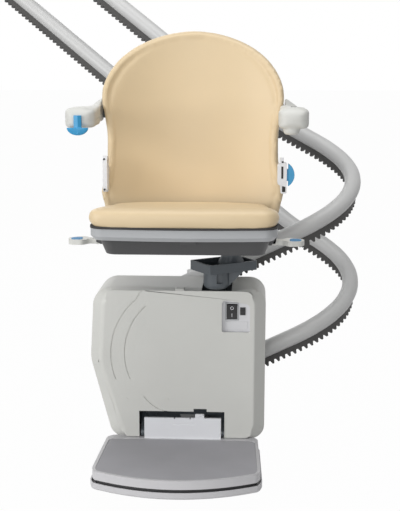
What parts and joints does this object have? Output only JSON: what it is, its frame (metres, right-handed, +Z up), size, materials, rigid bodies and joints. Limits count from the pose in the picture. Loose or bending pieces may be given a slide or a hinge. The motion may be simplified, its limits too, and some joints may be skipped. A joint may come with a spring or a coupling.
{
  "type": "stairlift chair on a curved twin-tube rail",
  "caption": "Powered stairlift chair with swivel seat, folding armrests and footrest, on the lower end of a curved twin-tube rack rail.",
  "frame": {"origin": "centre of the rail foot's floor plate, on the floor", "axes": "+Z up, the sitter faces -Y, +X to the sitter's left, which is uphill along the lower run"},
  "size_m": [1.1583, 1.2953, 1.525],
  "materials": {
    "rail_paint": "satin",
    "rack_black": "matte",
    "bare_steel": "satin",
    "dark_metal": "satin",
    "cover_plastic": "fine grained, satin",
    "dark_plastic": "matte",
    "grey_plastic": "satin",
    "tray_plastic": "satin",
    "cast_aluminium": "cast",
    "roller_nylon": "satin",
    "gear_steel": "machined",
    "sand_vinyl": "soft satin vinyl",
    "white_plastic": "satin",
    "blue_plastic": "satin",
    "foot_mat": "fine ribbed matt"
  },
  "bodies": {
    "rail": {"upper_tube_near_run": "rail_paint", "upper_tube_bend": "rail_paint", "upper_tube_far_run": "rail_paint", "lower_tube_near_run": "rail_paint", "lower_tube_bend": "rail_paint", "lower_tube_far_run": "rail_paint", "upper_rack_near_run": "rack_black", "upper_rack_bend": "rack_black", "upper_rack_far_run": "rack_black", "lower_rack_near_run": "rack_black", "lower_rack_bend": "rack_black", "lower_rack_far_run": "rack_black", "floor_plate": "rail_paint", "support_post": "rail_paint", "tube_end_caps": "grey_plastic", "joining_spigots": "bare_steel"},
    "carriage": {"chassis_plate": "dark_metal", "carriage_cover": "cover_plastic", "switch_panel": "grey_plastic", "switch_housing": "dark_plastic", "upper_bogie": "dark_metal", "lower_bogie": "dark_metal", "roller_axles": "bare_steel", "drive_motor": "dark_plastic", "drive_gearbox": "cast_aluminium", "batteries": "dark_plastic", "column_bracket": "dark_metal", "footrest_bracket": "dark_metal", "footrest_hinge_pin": "bare_steel"},
    "power_rocker": {"power_rocker": "dark_plastic"},
    "upper_roller_low": {"upper_roller_low": "roller_nylon"},
    "upper_roller_high": {"upper_roller_high": "roller_nylon"},
    "lower_roller_low": {"lower_roller_low": "roller_nylon"},
    "lower_roller_high": {"lower_roller_high": "roller_nylon"},
    "upper_pinion": {"upper_pinion": "gear_steel"},
    "lower_pinion": {"lower_pinion": "gear_steel"},
    "seat_frame": {"swivel_post": "dark_metal", "seat_base_plate": "dark_metal", "seat_base_cover": "dark_plastic", "back_frame": "dark_metal", "backrest_shell": "grey_plastic", "backrest_pad": "sand_vinyl", "seat_hinge_pins": "bare_steel", "lever_brackets": "dark_metal", "belt_guide": "white_plastic", "belt_buckle": "white_plastic", "belt_clip": "white_plastic"},
    "seat": {"seat_tray": "tray_plastic", "seat_pad": "sand_vinyl"},
    "armrest_plus_x": {"armrest_plus_x": "cover_plastic"},
    "armrest_minus_x": {"armrest_minus_x": "cover_plastic"},
    "direction_toggle": {"direction_toggle": "blue_plastic"},
    "swivel_lever_plus_x": {"swivel_lever_plus_x": "cover_plastic"},
    "swivel_lever_minus_x": {"swivel_lever_minus_x": "cover_plastic"},
    "belt_release_button": {"belt_release_button": "blue_plastic"},
    "footrest": {"footrest_plate": "cover_plastic", "footrest_mat": "foot_mat", "footrest_seal": "dark_plastic"},
    "safety_pan": {"footrest_safety_pan": "cover_plastic"}
  },
  "joints": [
    {"name": "carriage_travel", "type": "slide", "parent": "rail", "child": "carriage", "axis": [0.9018, 0, 0.4321], "range_m": [0, 0.18]},
    {"name": "upper_roller_low_spin", "type": "hinge", "parent": "carriage", "child": "upper_roller_low", "pos_m": [-0.16083, -0.094, 0.36494], "axis": [-0.4321, 0, 0.9018], "range_deg": [-5, 630]},
    {"name": "upper_roller_high_spin", "type": "hinge", "parent": "carriage", "child": "upper_roller_high", "pos_m": [-0.06163, -0.094, 0.41247], "axis": [-0.4321, 0, 0.9018], "range_deg": [-5, 630]},
    {"name": "upper_pinion_spin", "type": "hinge", "parent": "carriage", "child": "upper_pinion", "pos_m": [-0.07753, -0.056, 0.31836], "axis": [0, 1, 0], "range_deg": [-262, 4]},
    {"name": "lower_roller_low_spin", "type": "hinge", "parent": "carriage", "child": "lower_roller_low", "pos_m": [-0.06167, -0.094, 0.14045], "axis": [-0.4321, 0, 0.9018], "range_deg": [-5, 630]},
    {"name": "lower_roller_high_spin", "type": "hinge", "parent": "carriage", "child": "lower_roller_high", "pos_m": [0.03753, -0.094, 0.18798], "axis": [-0.4321, 0, 0.9018], "range_deg": [-5, 630]},
    {"name": "lower_pinion_spin", "type": "hinge", "parent": "carriage", "child": "lower_pinion", "pos_m": [0.02163, -0.056, 0.09387], "axis": [0, 1, 0], "range_deg": [-262, 4]},
    {"name": "power_rocker_tilt", "type": "hinge", "parent": "carriage", "child": "power_rocker", "pos_m": [0.1, -0.247, 0.402], "axis": [-1, 0, 0], "range_deg": [0, 12]},
    {"name": "seat_swivel", "type": "hinge", "parent": "carriage", "child": "seat_frame", "pos_m": [0.097, -0.23, 0.511], "axis": [0, 0, 1], "range_deg": [0, 80]},
    {"name": "seat_fold", "type": "hinge", "parent": "seat_frame", "child": "seat", "pos_m": [0, -0.194, 0.634], "axis": [-1, 0, 0], "range_deg": [0, 74]},
    {"name": "arm_plus_x_fold", "type": "hinge", "parent": "seat_frame", "child": "armrest_plus_x", "pos_m": [0.24, -0.102, 0.871], "axis": [-1, 0, 0], "range_deg": [0, 95]},
    {"name": "arm_minus_x_fold", "type": "hinge", "parent": "seat_frame", "child": "armrest_minus_x", "pos_m": [-0.24, -0.102, 0.871], "axis": [-1, 0, 0], "range_deg": [0, 95]},
    {"name": "direction_toggle_tilt", "type": "hinge", "parent": "armrest_minus_x", "child": "direction_toggle", "pos_m": [-0.239, -0.402, 0.866], "axis": [0, 1, 0], "range_deg": [-14, 14], "stiffness_Nm_per_rad": 0.15},
    {"name": "swivel_lever_plus_x_press", "type": "hinge", "parent": "seat_frame", "child": "swivel_lever_plus_x", "pos_m": [0.196, -0.41, 0.6], "axis": [0, 1, 0], "range_deg": [0, 12], "stiffness_Nm_per_rad": 0.6, "springref_deg": -8.59},
    {"name": "swivel_lever_minus_x_press", "type": "hinge", "parent": "seat_frame", "child": "swivel_lever_minus_x", "pos_m": [-0.196, -0.41, 0.6], "axis": [0, -1, 0], "range_deg": [0, 12], "stiffness_Nm_per_rad": 0.6, "springref_deg": -8.59},
    {"name": "belt_release_press", "type": "slide", "parent": "seat_frame", "child": "belt_release_button", "axis": [-1, 0, 0], "range_m": [0, 0.0028], "stiffness_N_per_m": 400, "springref_m": -0.003},
    {"name": "footrest_fold", "type": "hinge", "parent": "carriage", "child": "footrest", "pos_m": [-0.02, -0.255, 0.097], "axis": [-1, 0, 0], "range_deg": [0, 88]},
    {"name": "safety_pan_lift", "type": "slide", "parent": "footrest", "child": "safety_pan", "axis": [0, 0, 1], "range_m": [0, 0.0038], "stiffness_N_per_m": 1500, "springref_m": -0.003}
  ],
  "couplings": [
    {"joint": "upper_roller_low_spin", "follows": "carriage_travel", "rad_per_m": 60.606},
    {"joint": "upper_roller_high_spin", "follows": "carriage_travel", "rad_per_m": 60.606},
    {"joint": "upper_pinion_spin", "follows": "carriage_travel", "rad_per_m": -25},
    {"joint": "lower_roller_low_spin", "follows": "carriage_travel", "rad_per_m": 60.606},
    {"joint": "lower_roller_high_spin", "follows": "carriage_travel", "rad_per_m": 60.606},
    {"joint": "lower_pinion_spin", "follows": "carriage_travel", "rad_per_m": -25}
  ]
}
